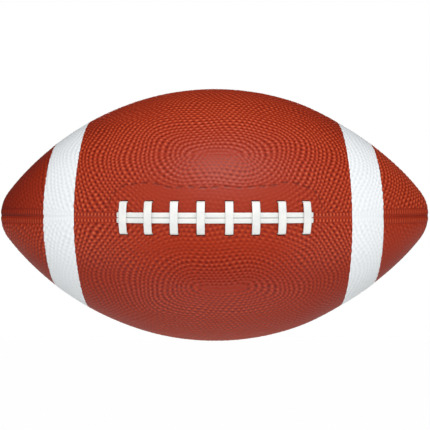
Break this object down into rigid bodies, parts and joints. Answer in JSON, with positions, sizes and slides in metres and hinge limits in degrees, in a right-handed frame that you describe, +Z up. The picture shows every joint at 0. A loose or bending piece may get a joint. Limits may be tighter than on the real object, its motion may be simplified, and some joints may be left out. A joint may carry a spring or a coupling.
{
  "type": "american football",
  "caption": "Pointed oval laced ball of four pebbled leaf-shaped panels over an inflated bladder, with a lace for grip, painted stripes and a self-sealing inflation valve.",
  "frame": {"origin": "centre of the ball, half-way between the noses", "axes": "+X along the ball from nose to nose, lacing on the -Y side, +Z up as the ball is pictured"},
  "size_m": [0.2798, 0.1653, 0.1632],
  "materials": {
    "bladder_rubber": "matt black butyl",
    "valve_rubber": "moulded black rubber",
    "plug_rubber": "soft dark rubber",
    "wound_nylon": "wound nylon thread set in latex",
    "carcass_rubber": "matt brown rubber",
    "pad_rubber": "matt brown rubber",
    "cover_rubber": "pebbled reddish-brown composition rubber, satin",
    "lace_rubber": "smooth white vinyl, satin",
    "stripe_paint": "white paint film, satin"
  },
  "bodies": {
    "root": {"bladder": "bladder_rubber", "valve_housing": "valve_rubber", "valve_plug": "plug_rubber", "winding": "wound_nylon", "carcass": "carcass_rubber", "lace_pad": "pad_rubber", "panel_front_upper": "cover_rubber", "panel_front_lower": "cover_rubber", "panel_back_upper": "cover_rubber", "panel_back_lower": "cover_rubber", "lace": "lace_rubber", "stripe_left": "stripe_paint", "stripe_right": "stripe_paint"}
  },
  "joints": []
}
